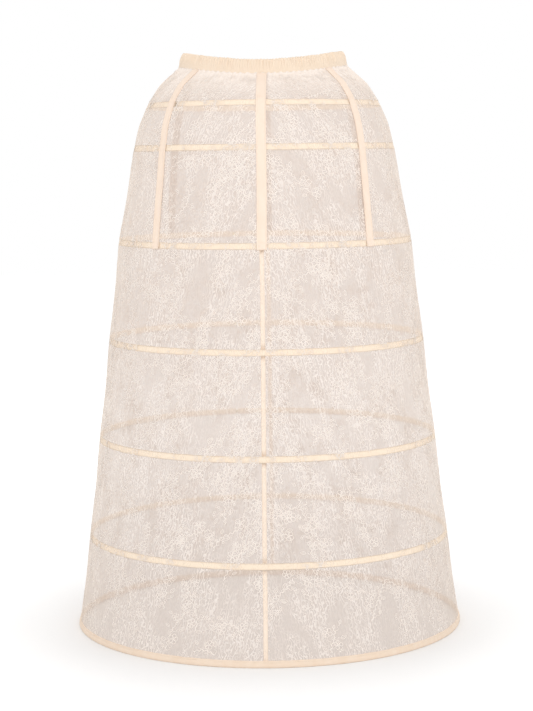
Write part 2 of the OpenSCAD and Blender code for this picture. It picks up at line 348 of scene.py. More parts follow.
def add_mesh(name, points, faces, material, uv):
    """A new smooth piece from points and faces, with a uv per point, riding on the cage."""
    mesh = bpy.data.meshes.new(name)
    mesh.from_pydata([tuple(p) for p in points], [], faces)
    layer = mesh.uv_layers.new(name="cloth")
    loops = np.zeros(len(mesh.loops), np.int32)
    mesh.loops.foreach_get("vertex_index", loops)
    layer.data.foreach_set("uv", np.asarray(uv, np.float32)[loops].ravel())
    mesh.polygons.foreach_set("use_smooth", [True] * len(mesh.polygons))
    mesh.materials.append(material)
    piece = bpy.data.objects.new(name, mesh)
    bpy.context.scene.collection.objects.link(piece)
    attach(piece, "root")
    return piece


def grid_faces(rows, columns, closed_rows=False, closed_columns=False):
    """Quads of a grid of points, given row by row."""
    faces = []
    for i in range(rows if closed_rows else rows - 1):
        for j in range(columns if closed_columns else columns - 1):
            k, m = (i + 1) % rows, (j + 1) % columns
            faces.append((i * columns + j, i * columns + m, k * columns + m, k * columns + j))
    return faces


def path_lengths(path):
    """Distance along a path of each of its points, from the first."""
    return np.cumsum(np.concatenate([[0], np.linalg.norm(np.diff(path, axis=0), axis=1)]))


def wobble(a, seed, waves, size):
    """A smooth closed unevenness round the cage: a few waves of random phase."""
    rng = random.Random(seed)
    total = np.zeros_like(np.asarray(a, float))
    for k in waves:
        total = total + math.sqrt(1.0 / len(waves)) * np.sin(k * np.asarray(a) + rng.uniform(0, PHASE_RANGE))
    return size * total


# Materials

class Nodes:
    """Short forms for building one material's node tree."""

    def __init__(self, name):
        self.material = bpy.data.materials.new(name)
        self.material.use_nodes = True
        self.tree = self.material.node_tree
        self.shader = self.tree.nodes["Principled BSDF"]

    def node(self, kind, **settings):
        """A new node with its settings."""
        made = self.tree.nodes.new(kind)
        for key, value in settings.items():
            setattr(made, key, value)
        return made

    def link(self, source, target):
        """Join an output to an input."""
        self.tree.links.new(source, target)

    def math(self, operation, a, b, c=None, clamp=False):
        """Arithmetic on numbers or sockets."""
        made = self.node("ShaderNodeMath", operation=operation, use_clamp=clamp)
        for socket, value in zip(made.inputs, (a, b, c)):
            if value is None:
                continue
            if isinstance(value, (int, float)):
                socket.default_value = value
            else:
                self.link(value, socket)
        return made.outputs[0]

    def range(self, value, low, high, to_low=0.0, to_high=1.0):
        """A soft step of a value, from one range to another."""
        made = self.node("ShaderNodeMapRange", interpolation_type="SMOOTHSTEP")
        self.link(value, made.inputs["Value"])
        for key, number in (("From Min", low), ("From Max", high), ("To Min", to_low), ("To Max", to_high)):
            made.inputs[key].default_value = number
        return made.outputs[0]

    def mix(self, factor, a, b):
        """A colour between two colours, each a constant or a socket."""
        made = self.node("ShaderNodeMix", data_type="RGBA")
        self.link(factor, made.inputs["Factor"])
        for key, value in (("A", a), ("B", b)):
            if isinstance(value, tuple):
                made.inputs[key].default_value = (*value, 1)
            else:
                self.link(value, made.inputs[key])
        return made.outputs["Result"]

    def blend(self, factor, a, b):
        """A number between two numbers."""
        return self.math("MULTIPLY_ADD", factor, self.math("SUBTRACT", b, a), a)

    def place(self, kind, scale):
        """Coordinates of a kind, scaled."""
        made = self.node("ShaderNodeMapping")
        self.link(self.node("ShaderNodeTexCoord").outputs[kind], made.inputs["Vector"])
        made.inputs["Scale"].default_value = scale
        return made.outputs[0]

    def uv(self, scale=(1, 1, 1)):
        """The cloth's own coordinates, scaled."""
        return self.place("UV", scale)

    def noise(self, vector, scale, detail, distortion=0.0):
        """Soft noise from 0 to 1."""
        made = self.node("ShaderNodeTexNoise")
        self.link(vector, made.inputs["Vector"])
        made.inputs["Scale"].default_value = scale
        made.inputs["Detail"].default_value = detail
        made.inputs["Distortion"].default_value = distortion
        return made.outputs["Fac"]

    def waves(self, vector, direction, pitch, wander=0.0):
        """A node of bands at a pitch, which noise makes wander."""
        made = self.node("ShaderNodeTexWave", bands_direction=direction)
        self.link(vector, made.inputs["Vector"])
        made.inputs["Scale"].default_value = WAVE_SCALE / pitch
        made.inputs["Distortion"].default_value = wander
        return made

    def scrawl(self, vector, pitch, wander, curl):
        """Thin lines that run up the cloth at a pitch, wandering and looping."""
        made = self.waves(vector, "X", pitch, wander)
        made.inputs["Detail"].default_value = 1.0
        made.inputs["Detail Scale"].default_value = curl
        return self.range(made.outputs["Fac"], LINE_EDGE, LINE_CORE)

    def bump(self, height, distance, strength):
        """Relief of the surface by a height."""
        made = self.node("ShaderNodeBump")
        self.link(height, made.inputs["Height"])
        made.inputs["Distance"].default_value = distance
        made.inputs["Strength"].default_value = strength
        self.link(made.outputs[0], self.shader.inputs["Normal"])

    def finish(self, roughness, sheen=0.0, tint=(1.0, 1.0, 1.0)):
        """The material, with the roughness and sheen of cloth."""
        self.shader.inputs["Roughness"].default_value = roughness
        self.shader.inputs["Specular IOR Level"].default_value = CLOTH_SPECULAR
        if sheen:
            self.shader.inputs["Sheen Weight"].default_value = sheen
            self.shader.inputs["Sheen Roughness"].default_value = SHEEN_ROUGHNESS
            self.shader.inputs["Sheen Tint"].default_value = (*tint, 1)
        return self.material


def lace_material():
    """Fine net with scrolling thread worked closely in clouds, and clear patches between them.

    The lay attribute tells where a tape backs the lace (red), with its net painted lighter there, and where
    it is gathered (green)."""
    n = Nodes("ivory_lace")
    lay = n.node("ShaderNodeSeparateColor")
    n.link(n.node("ShaderNodeAttribute", attribute_name="lay").outputs["Color"], lay.inputs[0])
    backed, gathered = lay.outputs["Red"], lay.outputs["Green"]
    cloud = n.range(n.noise(n.uv((1.5, 0.70, 1)), scale=18.0, detail=3.0, distortion=0.5), 0.37, 0.57)
    loops = n.scrawl(n.uv((1.0, 0.75, 1)), pitch=7.2 * MM, wander=15.0, curl=2.8)
    curls = n.scrawl(n.uv((1.0, 0.50, 1)), pitch=5.0 * MM, wander=9.0, curl=2.2)
    worked = n.math("MULTIPLY_ADD", n.math("MAXIMUM", cloud, gathered), CLOUD_THREAD, PLAIN_THREAD)
    thread = n.math("MULTIPLY", n.math("MAXIMUM", loops, curls), worked)
    ground = n.math("MULTIPLY_ADD", gathered, GATHERED_COVER, NET_COVER)
    open_alpha = n.math("MULTIPLY_ADD", thread, THREAD_COVER, ground, clamp=True)
    backed_alpha = n.math("MULTIPLY_ADD", thread, BACKED_THREAD_COVER, BACKED_COVER)
    n.link(n.blend(backed, open_alpha, backed_alpha), n.shader.inputs["Alpha"])
    # Net colour: painted shade where open, painted lighter as lit where a tape backs it, lighter where
    # gathered
    net = n.mix(n.math("MAXIMUM", backed, gathered), SHADED_LACE_NET, LIT_AND_GATHERED_LACE_NET)
    n.link(n.mix(thread, net, LACE_THREAD), n.shader.inputs["Base Color"])
    n.bump(thread, distance=0.3 * MM, strength=0.4)
    return n.finish(roughness=0.9, sheen=0.6, tint=LACE_SHEEN)


def sprig_material():
    """Thicker soft thread that draws the sprigs."""
    n = Nodes("lace_cord")
    tone = n.noise(n.uv(), scale=400.0, detail=2.0)
    n.link(n.mix(tone, SPRIG_SHADE, SPRIG_LIGHT), n.shader.inputs["Base Color"])
    n.bump(tone, distance=0.2 * MM, strength=0.4)
    return n.finish(roughness=0.8)


def cotton(name, colour, pitch=0.9 * MM, dapple=0.06, twill=True):
    """Woven cotton: a twill or plain weave, with slightly uneven colour."""
    n = Nodes(name)
    warp = n.waves(n.uv((1.0, 1.0, 0.0)), "DIAGONAL" if twill else "X", pitch, WEAVE_WANDER)
    weft = n.waves(n.uv(), "Y", pitch / WEFT_SPREAD)
    weave = n.math("MULTIPLY_ADD", weft.outputs["Fac"], WEFT_SHARE, warp.outputs["Fac"])
    uneven = n.noise(n.uv((1.0, 0.4, 1)), scale=90.0, detail=3.0)
    tone = n.math("MULTIPLY_ADD", weave, WEAVE_TONE, n.math("MULTIPLY", uneven, UNEVEN_TONE), clamp=True)
    dark = tuple(v * (1 - dapple * (1 + i)) for i, v in enumerate(colour))
    light = tuple(min(1.0, v * LIGHT_TONE) for v in colour)
    n.link(n.mix(tone, dark, light), n.shader.inputs["Base Color"])
    n.bump(weave, distance=0.15 * MM, strength=0.6)
    return n.finish(roughness=0.88, sheen=0.1)


def metal(name, colour, roughness):
    """Drawn metal strip with fine lengthwise streaks."""
    n = Nodes(name)
    streak = n.noise(n.place("Object", STREAK_STRETCH), scale=1.0, detail=3.0)
    shade = tuple(STREAK_SHADE * v for v in colour)
    n.link(n.mix(streak, shade, colour), n.shader.inputs["Base Color"])
    n.shader.inputs["Metallic"].default_value = 1.0
    uneven = n.range(streak, 0.3, 0.7, roughness - STREAK_ROUGHNESS, roughness + STREAK_ROUGHNESS)
    n.link(uneven, n.shader.inputs["Roughness"])
    return n.material


lace_cloth = lace_material()
sprig_thread = sprig_material()
tape_cotton = cotton("tape_cotton", TAPE_CREAM)
casing_cotton = cotton("casing_cotton", CASING_CREAM, pitch=0.8 * MM)
binding_cotton = cotton("binding_cotton", BINDING_CREAM, pitch=0.8 * MM, dapple=0.10)
seam_cotton = cotton("seam_cotton", SEAM_CREAM, pitch=0.7 * MM)
band_cotton = cotton("band_cotton", BAND_CREAM, pitch=0.7 * MM, dapple=0.05, twill=False)
stitch_thread = cotton("stitch_thread", STITCH_CREAM, pitch=0.3 * MM, dapple=0.05)
elastic_web = cotton("elastic_web", ELASTIC_WHITE, pitch=1.2 * MM, dapple=0.05, twill=False)
hoop_metal = metal("bronzed_steel", HOOP_BRONZE, roughness=0.4)
sleeve_metal = metal("dull_brass", SLEEVE_BRASS, roughness=0.45)


# Lace skirt

def lace_sag(a, s):
    """How far the lace lies in from its taut surface: gathers at the waist and a slight sag."""
    a, s = np.broadcast_arrays(np.asarray(a, float), np.asarray(s, float))
    depth = LACE_GATHER_DEPTH * smooth(YOKE_TOP_S, WAIST_S, s)
    crease = 0.5 - 0.5 * np.cos(LACE_GATHERS * a + wobble(a, 5, (7, 11, 17), LACE_GATHER_DRIFT))
    sag = np.zeros_like(s)
    stops = [HOOP_S[name] for name in HOOPS]
    for low, high in zip(stops[:-1], stops[1:-1]):
        t = np.clip((s - low) / (high - low), 0, 1)
        sag += LACE_SAG * np.sin(np.pi * t) ** 2
    return -(depth * crease + sag)


def lace_rows():
    """Distances up the lace of its rows of points: even, with two at each edge of every casing."""
    edges = np.array([HOOP_S[name] + side * (CASING_HALF + off)
                      for name in CASED for side in (-1, 1) for off in (-EDGE_INSIDE, EDGE_OUTSIDE)])
    even = [s for s in np.linspace(0, LACE_TOP, LACE_ROWS) if np.min(np.abs(edges - s)) > ROW_CLEAR]
    return np.sort(np.concatenate([even, edges]))


def lace_lay(grid_a, grid_s):
    """The lay colours of points of the lace: backed by a tape (red) and gathered (green). Where backed, the
    net is painted lighter, less so towards the sides.
    """
    from_middle = np.minimum(grid_a, math.pi - grid_a)
    # Towards the sides the backing counts for less: denser lace and less of the painted lighter net there
    fade = SIDE_FADE * smooth(SIDE_FOOT_ANGLE, SIDE_FADE_REACH * SIDE_FOOT_ANGLE, from_middle)
    by_casing = (from_casing(grid_s) < CASING_HALF) * (1 - fade)
    by_seam = (from_middle * radius(grid_s) < SEAM_TAPE_WIDTH / 2) & (grid_s < HOOP_S["hip"])
    backed = np.maximum(by_casing, by_seam)
    gathered = smooth(YOKE_TOP_S - GATHER_BLEND, WAIST_S, grid_s)
    return np.stack([backed, gathered, 0 * grid_s, 0 * grid_s + 1], axis=-1)


def lace_half(name, sign):
    """Half of the skirt, from the front seam to the back seam."""
    s = lace_rows()[:, None]
    beside = np.array([0.0, SEAM_TAPE_WIDTH / 2 - EDGE_INSIDE, SEAM_TAPE_WIDTH / 2 + EDGE_OUTSIDE])
    near = beside[None] / radius(s)
    share = np.linspace(0, 1, LACE_COLUMNS)[None, 1:-1]
    inner = near[:, -1:] + share * (math.pi - 2 * near[:, -1:])
    grid_a = np.concatenate([near, inner, math.pi - near[:, ::-1]], axis=1)
    rows, columns = grid_a.shape
    grid_s = np.broadcast_to(s, grid_a.shape)
    points = lace_point(sign * grid_a, grid_s, lace_sag(sign * grid_a, grid_s)).reshape(-1, 3)
    across = (grid_a - math.pi / 2) * radius(grid_s) + sign * HALVES_APART
    uv = np.stack([across, grid_s], axis=-1).reshape(-1, 2)
    faces = grid_faces(rows, columns)
    if sign < 0:
        faces = [f[::-1] for f in faces]
    piece = add_mesh(name + "_cloth", points, faces, lace_cloth, uv)
    lay = piece.data.attributes.new("lay", "FLOAT_COLOR", "POINT")
    lay.data.foreach_set("color", lace_lay(grid_a, grid_s).astype(np.float32).ravel())
    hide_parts(name)
    return piece


# Lace sprigs, drawn on the flat half and laid onto the skirt

def step_from(point, heading, reach):
    """The point at a reach from another, along a heading."""
    return point[0] + reach * math.cos(heading), point[1] + reach * math.sin(heading)


def circle(centre, size, count, start=0.0):
    """Points round a closed circle."""
    return [step_from(centre, start + 2 * math.pi * k / (count - 1), size) for k in range(count)]


class Sprigs:
    """Ribbons of thread on one half of the lace, gathered into one mesh."""

    HEM_CLEAR, WAIST_CLEAR, SEAM_CLEAR = 10 * MM, 6 * MM, 4 * MM
    OUTLINE, MIDRIB, TWIG = 0.7 * MM, 0.6 * MM, 0.75 * MM
    TAPER = 0.45
    STEP = 2.5 * MM
    TURN_KEPT, TURN_JITTER = 0.86, 0.45
    LEAF_POINTS, LEAF_WIDTH = 12, 0.30
    PETALS, PETAL_AT, PETAL_SIZE, EYE_SIZE = 5, 0.58, 0.40, 0.16
    BEADS, BEAD_SPREAD, BEAD_AT, BEAD_SIZE = 3, 0.9, 4 * MM, 1.6 * MM
    TWIG_BEND, BRANCH_BEND = 45.0, 24.0
    LEAF_CHANCE, BLOSSOM_CHANCE = 0.7, 0.85
    LIFT = 0.25 * MM
    # Ranges to draw from: lengths in millimetres, angles in radians, and steps along a stem
    LIFT_MORE, BRANCH_WIDTH = (0, 0.15), (0.9, 1.2)
    BRANCH_LENGTH, TWIG_LENGTH = (60, 130), (8, 24)
    LEAF_SIZE, BLOSSOM_SIZE, BLOSSOM_OFF = (6, 10), (6, 9.5), (6, 11)
    BRANCH_LEAN, TWIG_LEAN, CRINKLE = (0.1, 0.75), (0.5, 1.1), (0.4, 1.0)
    FIRST_TWIG, NEXT_TWIG = (1, 3), (2, 5)

    def __init__(self, sign, seed):
        self.sign = sign
        self.rng = random.Random(seed)
        self.points, self.faces, self.uv = [], [], []

    def inside(self, u, v):
        """Whether a point lies on the half, clear of its edges."""
        if not self.HEM_CLEAR < v < WAIST_S - self.WAIST_CLEAR:
            return False
        return abs(u) < (math.pi / 2) * float(radius(v)) - self.SEAM_CLEAR

    def ribbon(self, path, width, taper=False):
        """A flat thread along a path of (across, up) points, without those past the half's edges."""
        path = [p for p in path if self.inside(*p)]
        if len(path) < 2:
            return
        line = np.array(path)
        heading = np.gradient(line, axis=0)
        heading /= np.maximum(np.linalg.norm(heading, axis=1, keepdims=True), 1e-9)
        normal = np.stack([-heading[:, 1], heading[:, 0]], axis=1)
        half = np.full(len(line), width / 2)
        if taper:
            half *= np.linspace(1.0, self.TAPER, len(line))
        both = np.concatenate([line + normal * half[:, None], line - normal * half[:, None]])
        angle = self.sign * (both[:, 0] / radius(both[:, 1]) + math.pi / 2)
        lift = self.LIFT + self.rng.uniform(*self.LIFT_MORE) * MM
        placed = lace_point(angle, both[:, 1], lace_sag(angle, both[:, 1]) + lift)
        start, count = len(self.points), len(line)
        self.points.extend(placed)
        self.uv.extend(both)
        for k in range(count - 1):
            quad = (start + k, start + count + k, start + count + k + 1, start + k + 1)
            self.faces.append(quad if self.sign > 0 else quad[::-1])

    def stem(self, start, heading, length, bend):
        """A wandering, crinkled line of points from a start, and the heading at each."""
        path, headings = [start], [heading]
        turn = self.rng.uniform(-bend, bend)
        for _ in range(int(length / self.STEP)):
            turn = self.TURN_KEPT * turn + self.rng.gauss(0, bend * self.TURN_JITTER)
            heading += turn * self.STEP
            crinkled = heading + self.rng.uniform(*self.CRINKLE) * (-1) ** (len(path) // 2)
            path.append(step_from(path[-1], crinkled, self.STEP))
            headings.append(heading)
        return path, headings

    def leaf(self, base, heading, size):
        """A pointed outline with a midrib."""
        c, s = math.cos(heading), math.sin(heading)
        outline = []
        for k in range(self.LEAF_POINTS + 1):
            t = 2 * math.pi * k / self.LEAF_POINTS
            x = size * (0.5 - 0.5 * math.cos(t))
            y = self.LEAF_WIDTH * size * math.sin(t) * (1.15 - 0.5 * x / size)
            outline.append((base[0] + c * x - s * y, base[1] + s * x + c * y))
        self.ribbon(outline, self.OUTLINE)
        self.ribbon([base, step_from(base, heading, 0.8 * size)], self.MIDRIB)

    def blossom(self, centre, size):
        """Round petals about a small ring."""
        phase = self.rng.uniform(0, PHASE_RANGE)
        for k in range(self.PETALS):
            heading = phase + k * 2 * math.pi / self.PETALS
            middle = step_from(centre, heading, self.PETAL_AT * size)
            self.ribbon(circle(middle, self.PETAL_SIZE * size, 12, heading + math.pi), self.OUTLINE)
        self.ribbon(circle(centre, self.EYE_SIZE * size, 9), self.OUTLINE)

    def twig(self, base, heading):
        """A short side stem with a leaf or a few beads at its end."""
        length = self.rng.uniform(*self.TWIG_LENGTH) * MM
        path, headings = self.stem(base, heading, length, self.TWIG_BEND)
        self.ribbon(path, self.TWIG, taper=True)
        if self.rng.random() < self.LEAF_CHANCE:
            self.leaf(path[-1], headings[-1], self.rng.uniform(*self.LEAF_SIZE) * MM)
        else:
            for k in range(self.BEADS):
                spread = headings[-1] + (k - 1) * self.BEAD_SPREAD
                bead = step_from(path[-1], spread, self.BEAD_AT)
                self.ribbon(circle(bead, self.BEAD_SIZE, 8), self.OUTLINE)

    def branch(self, start):
        """A main stem with twigs to both sides and blossoms on it."""
        rng = self.rng
        heading = math.pi / 2 + rng.choice((-1, 1)) * rng.uniform(*self.BRANCH_LEAN)
        length = rng.uniform(*self.BRANCH_LENGTH) * MM
        path, headings = self.stem(start, heading, length, self.BRANCH_BEND)
        self.ribbon(path, rng.uniform(*self.BRANCH_WIDTH) * MM)
        k = rng.randint(*self.FIRST_TWIG)
        side = rng.choice((-1, 1))
        while k < len(path):
            self.twig(path[k], headings[k] + side * rng.uniform(*self.TWIG_LEAN))
            side = -side
            k += rng.randint(*self.NEXT_TWIG)
        for spot in rng.sample(range(len(path)), 2):
            if rng.random() < self.BLOSSOM_CHANCE:
                off = headings[spot] + rng.choice((-1, 1)) * math.pi / 2
                centre = step_from(path[spot], off, rng.uniform(*self.BLOSSOM_OFF) * MM)
                self.blossom(centre, rng.uniform(*self.BLOSSOM_SIZE) * MM)


def sprig_panel(name, sign, seed, low, high):
    """Sprigs over one half of the lace between two distances up it, in staggered rows."""
    panel = Sprigs(sign, seed)
    v = low
    row = 0
    while v < high:
        reach = math.pi / 2 * float(radius(min(v, WAIST_S)))
        u = -reach + (row % 2) * SPRIG_PITCH / 2
        while u < reach:
            jitter = [panel.rng.uniform(-SPRIG_JITTER, SPRIG_JITTER) * SPRIG_PITCH for _ in range(2)]
            panel.branch((u + jitter[0], v + jitter[1]))
            u += SPRIG_PITCH * SPRIG_ACROSS
        v += SPRIG_PITCH * SPRIG_UP
        row += 1
    return add_mesh(name, panel.points, panel.faces, sprig_thread, panel.uv)


# Stitches

class Stitches:
    """Rows of short thread bars, gathered into one mesh."""

    LENGTH, GAP, WIDTH, HEIGHT = 2.3 * MM, 0.9 * MM, 0.5 * MM, 0.22 * MM
    SUNK, RIDGE = 0.3, 0.6
    LOOK = 0.5 * MM

    def __init__(self):
        self.points, self.faces, self.uv = [], [], []

    def bar(self, middle, ahead, up):
        """One bar, a roof shape with its foot sunk into the cloth."""
        across = ahead.cross(up)
        x, y, z = ahead * self.LENGTH / 2, across * self.WIDTH / 2, up * self.HEIGHT
        low = middle - z * self.SUNK
        start = len(self.points)
        self.points += [low - x - y, low + x - y, low + x + y, low - x + y,
                        middle - x * self.RIDGE + z, middle + x * self.RIDGE + z]
        self.uv += [(0, 0), (self.LENGTH, 0), (self.LENGTH, self.WIDTH), (0, self.WIDTH),
                    (0, self.WIDTH / 2), (self.LENGTH, self.WIDTH / 2)]
        for face in ((0, 1, 5, 4), (2, 3, 4, 5), (1, 2, 5), (3, 0, 4), (3, 2, 1, 0)):
            self.faces.append(tuple(start + k for k in face))

    def row(self, path, ups):
        """Bars at an even pitch along a path of points, each with its outward direction."""
        path, ups = np.asarray(path), np.asarray(ups)
        lengths = path_lengths(path)

        def at(d, columns):
            """The values at distance d along the path."""
            return Vector([np.interp(d, lengths, columns[:, k]) for k in range(3)])

        for d in np.arange(self.LENGTH / 2, lengths[-1] - self.LENGTH / 2, self.LENGTH + self.GAP):
            ahead = (at(d + self.LOOK, path) - at(d - self.LOOK, path)).normalized()
            self.bar(at(d, path), ahead, at(d, ups).normalized())

    def piece(self, name, slot):
        """The mesh of all the bars so far."""
        add_mesh(name, self.points, self.faces, stitch_thread, self.uv)


# Hoop casings and the hem binding

def side_angle(s):
    """Angle of the side tapes from the middle of the front or back."""
    z = along(s, side_rows[:, 0])
    low = along(HOOP_S["hip"] - TAPE_TAIL, side_rows[:, 0])
    high = along(WAIST_S, side_rows[:, 0])
    return SIDE_FOOT_ANGLE + (SIDE_TOP_ANGLE - SIDE_FOOT_ANGLE) * (z - low) / (high - low)


def mouth_angle(name):
    """Middle of the gap where a hoop is fed into its casing."""
    r = float(radius(HOOP_S[name]))
    if name == "yoke":
        return -float(side_angle(HOOP_S[name])) + (TAPE_WIDTH / 2 + MOUTH / 2 + MOUTH_CLEAR) / r
    if name == "high_hip":
        return -math.pi / 2
    return -math.pi + BACK_MOUTH / r


def hoop_frame(name):
    """Radius, height and slope of the lace over a hoop, from the rows on either side of it."""
    s = HOOP_S[name]
    near = np.array([s - CASING_HALF, s, s + CASING_HALF])
    r = along(near, side_rows[:, 1])
    z = along(near, side_rows[:, 0])
    return float(r[1]), float(z[1]), math.atan2(float(r[0] - r[2]), float(z[2] - z[0]))


def ring_points(name, angles, profile):
    """Points round the cage of a profile of (out, up) pairs, one row per angle."""
    r, z, slope = hoop_frame(name)
    out, up = profile[..., 0], profile[..., 1]
    rr = r + out * math.cos(slope) - up * math.sin(slope)
    zz = z + out * math.sin(slope) + up * math.cos(slope)
    a = angles[:, None]
    return np.stack([rr * np.sin(a), -rr * np.cos(a), zz + 0 * a], axis=-1)


def casing_shape():
    """Outline of a casing, as depth in from the lace and height up it, from its upper half."""
    front = ((0.28, 0.0), (0.28, 2.5), (0.30, 4.2), (0.32, 5.0))
    back = ((1.25, 5.0), (1.40, 4.3), (2.3, 3.95), (3.2, 3.4), (3.62, 2.4), (3.75, 0.0))
    below_front = [(depth, -up) for depth, up in reversed(front[1:])]
    below_back = [(depth, -up) for depth, up in reversed(back[:-1])]
    return np.array([*below_front, *front, *back, *below_back]) * MM


def casing(name, stitches):
    """A tape folded round a hoop and stitched inside the lace, its two ends a little apart."""
    middle, half = mouth_angle(name), MOUTH / 2 / float(radius(HOOP_S[name]))
    a = np.linspace(middle + half, middle - half + 2 * math.pi, CASING_STEPS)
    shape = casing_shape() * (-1, 1) - (LACE_CLOTH, 0)
    profile = np.repeat(shape[None], len(a), axis=0)
    profile[:, :, 1] += wobble(a, HOOPS.index(name), (23, 41, 67, 113), CASING_UNEVEN)[:, None]
    points = ring_points(name, a, profile)
    around = a[:, None] * float(radius(HOOP_S[name]))
    uv = np.stack(np.broadcast_arrays(around, path_lengths(shape)[None]), axis=-1)
    faces = [face[::-1] for face in grid_faces(len(a), len(shape), closed_columns=True)]
    piece = add_mesh(name + "_casing_tape", points.reshape(-1, 3), faces, casing_cotton,
                     uv.reshape(-1, 2))
    thick = piece.modifiers.new("cloth", "SOLIDIFY")
    thick.thickness = CASING_CLOTH
    thick.offset = -1
    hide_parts(name + "_casing")
    slope = hoop_frame(name)[2]
    ups = np.stack([np.cos(slope) * np.sin(a), -np.cos(slope) * np.cos(a), 0 * a + np.sin(slope)], axis=-1)
    for side in (-1, 1):
        line = np.array([[(CASING_STITCH_LIFT, side * CASING_STITCH_AT)]] * len(a))
        stitches.row(ring_points(name, a, line)[:, 0], ups)


def hem_binding(stitches):
    """A tape rolled round the hem hoop and stitched through the foot of the lace."""
    lo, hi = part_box("hem_binding")
    a = np.linspace(-math.pi, math.pi, BINDING_STEPS, endpoint=False)
    r, z, slope = hoop_frame("hem")
    foot = -(z - lo[2]) / math.cos(slope)
    top = (hi[2] - z) / math.cos(slope) - BINDING_UNEVEN
    # Outline of one side from its foot, in millimetres: distance out, and height
    half = ((0.3, 0.0), (1.1, 0.35), (1.7, 1.3), (1.9, 2.6), (1.9, 4.2), (1.6, 5.8), (1.15, 7.2),
            (0.98, 8.6), (0.95, 10.4))
    rise = (top - foot) / BINDING_HEIGHT
    outer = [(BINDING_LEAN + n * MM, foot + u * MM * rise) for n, u in half]
    inner = [(BINDING_LEAN - n * MM, foot + u * MM * rise) for n, u in reversed(half)]
    lip = [(BINDING_LEAN + BINDING_LIP, top), (BINDING_LEAN - BINDING_LIP, top)]
    shape = np.array([(BINDING_LEAN, foot), *outer, *lip, *inner])
    profile = np.repeat(shape[None], len(a), axis=0)
    roll = np.abs(shape[:, 1] - foot) > BINDING_FLAT
    profile[:, roll, 1] += wobble(a, 31, (19, 37, 71, 120), BINDING_UNEVEN)[:, None]
    profile[:, roll, 0] += wobble(a, 32, (61, 97, 149, 211), BINDING_RIPPLE)[:, None]
    points = ring_points("hem", a, profile)
    uv = np.stack(np.broadcast_arrays(a[:, None] * r, path_lengths(shape)[None]), axis=-1)
    faces = grid_faces(len(a), len(shape), closed_rows=True, closed_columns=True)
    piece = add_mesh("hem_binding_tape", points.reshape(-1, 3), faces, binding_cotton,
                     uv.reshape(-1, 2))
    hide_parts("hem_binding")
    line = np.array([[(BINDING_LEAN + BINDING_STITCH_OUT, foot + BINDING_STITCH_AT)]] * len(a))
    ups = np.stack([np.sin(a), -np.cos(a), 0 * a], axis=-1)
    stitches.row(ring_points("hem", a, line)[:, 0], ups)


# Tapes

def tape_strip(name, angle, s, out, width, cloth, material, edge_seed, ridge=0):
    """A flat tape up the lace: s and out along it, closed all round; ridge lifts one of its edges."""
    # Points across the tape, as shares of its width, and how much of the cloth stands there
    across = np.array([-0.5, -0.485, -0.43, -0.39, -0.25, 0.0, 0.25, 0.39, 0.43, 0.485, 0.5])
    crown = np.array([0.35, 0.95, 1.0, 1.0, 1.0, 1.0, 1.0, 1.0, 1.0, 0.95, 0.35])
    crown = crown * (1 + EDGE_RIDGE * smooth(RIDGE_FROM, RIDGE_TO, across * ridge))
    rng = random.Random(edge_seed)
    knots = np.linspace(s[0], s[-1], EDGE_KNOTS)
    drift = EDGE_DRIFT * np.interp(s, knots, [rng.uniform(-1, 1) for _ in range(EDGE_KNOTS)])
    shift = (across[None] * width + drift[:, None]) / radius(s)[:, None]
    a = (angle + 0 * s)[:, None] + shift
    top = lace_point(a, s[:, None], out[:, None] + cloth * crown[None])
    under = lace_point(a, s[:, None], out[:, None] + 0 * crown[None])
    loop = np.concatenate([top, under[:, ::-1]], axis=1)
    columns = loop.shape[1]
    faces = [f[::-1] for f in grid_faces(len(s), columns, closed_columns=True)]
    last = (len(s) - 1) * columns
    for j in range(len(across) - 1):
        faces.append((j, j + 1, columns - 2 - j, columns - 1 - j))
        faces.append((last + columns - 1 - j, last + columns - 2 - j, last + j + 1, last + j))
    v = np.repeat(s[:, None], columns, axis=1)
    u = np.concatenate([across, across[::-1]])[None] * width + 0 * v
    uv = np.stack([u, v], axis=-1).reshape(-1, 2)
    return add_mesh(name, loop.reshape(-1, 3), faces, material, uv)


def stitch_line(stitches, a, s, out):
    """A row of stitches along angles a and distances s up the lace, moved out from it."""
    path = lace_point(a, s, out)
    stitches.row(path, lace_point(a, s, out + MM) - path)


def tape_stitches(stitches, angle, s, out, width, inset):
    """A row of stitches along each edge of a tape."""
    for side in (-1, 1):
        stitch_line(stitches, angle + side * (width / 2 - inset) / radius(s), s, out)


def upright_tape(node, middle, turn, stitches):
    """A wide tape from the waistband down the lace, its end turned under below the hip hoop."""
    foot = HOOP_S["hip"] - TAPE_TAIL
    s = np.linspace(foot, WAIST_S - TAPE_TOP_CLEAR, TAPE_STEPS)
    angle = middle + turn * side_angle(s)
    turned = 1 - smooth(foot + TAPE_FOLD, foot + TAPE_FOLD + TAPE_FOLD_STEP, s)
    out = TAPE_LIFT + TAPE_WAIST_LIFT * smooth(YOKE_TOP_S, WAIST_S, s) + TAPE_FOLD_LIFT * turned
    piece = tape_strip(node + "_cotton", angle, s, out, TAPE_WIDTH, TAPE_CLOTH, tape_cotton,
                       node, ridge=-turn)
    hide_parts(node)
    face = out + TAPE_CLOTH
    tape_stitches(stitches, angle, s, face, TAPE_WIDTH, TAPE_STITCH_INSET)
    span = TAPE_WIDTH - 2 * TAPE_STITCH_INSET
    for level in (foot + TAPE_FOOT_STITCH, HOOP_S["hip"] + TAPE_HIP_STITCH):
        a = float(np.interp(level, s, angle)) + np.linspace(-0.5, 0.5, 9) * span / float(radius(level))
        stitch_line(stitches, a, level, float(np.interp(level, s, face)))


